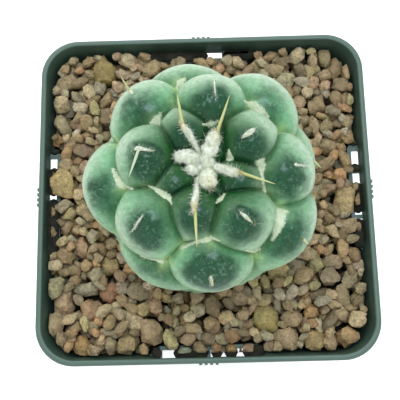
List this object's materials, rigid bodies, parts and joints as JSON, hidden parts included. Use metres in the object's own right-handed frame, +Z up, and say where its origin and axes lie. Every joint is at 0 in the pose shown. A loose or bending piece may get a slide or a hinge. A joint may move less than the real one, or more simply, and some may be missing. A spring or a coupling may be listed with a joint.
{
  "type": "potted elephant tooth cactus",
  "caption": "Small squat cactus of fat rounded tubercles with a white woolly crown, in a square tapered plastic pot filled with brown grit.",
  "frame": {"origin": "middle of the pot's underside, on the surface it stands on", "axes": "+Z up through the pot and the plant, -Y towards the front of the picture, +X to its right"},
  "size_m": [0.071, 0.071, 0.0925],
  "materials": {
    "pot_plastic": "dark green-black moulded polypropylene, satin",
    "grit_stone": "dry matte pumice and akadama grit",
    "stem_skin": "smooth waxy plant skin with a pale bloom",
    "wool_fibre": "soft matte plant wool"
  },
  "bodies": {
    "root": {"pot": "pot_plastic", "grit": "grit_stone", "cactus_stem": "stem_skin", "apex_wool": "wool_fibre"}
  },
  "joints": []
}
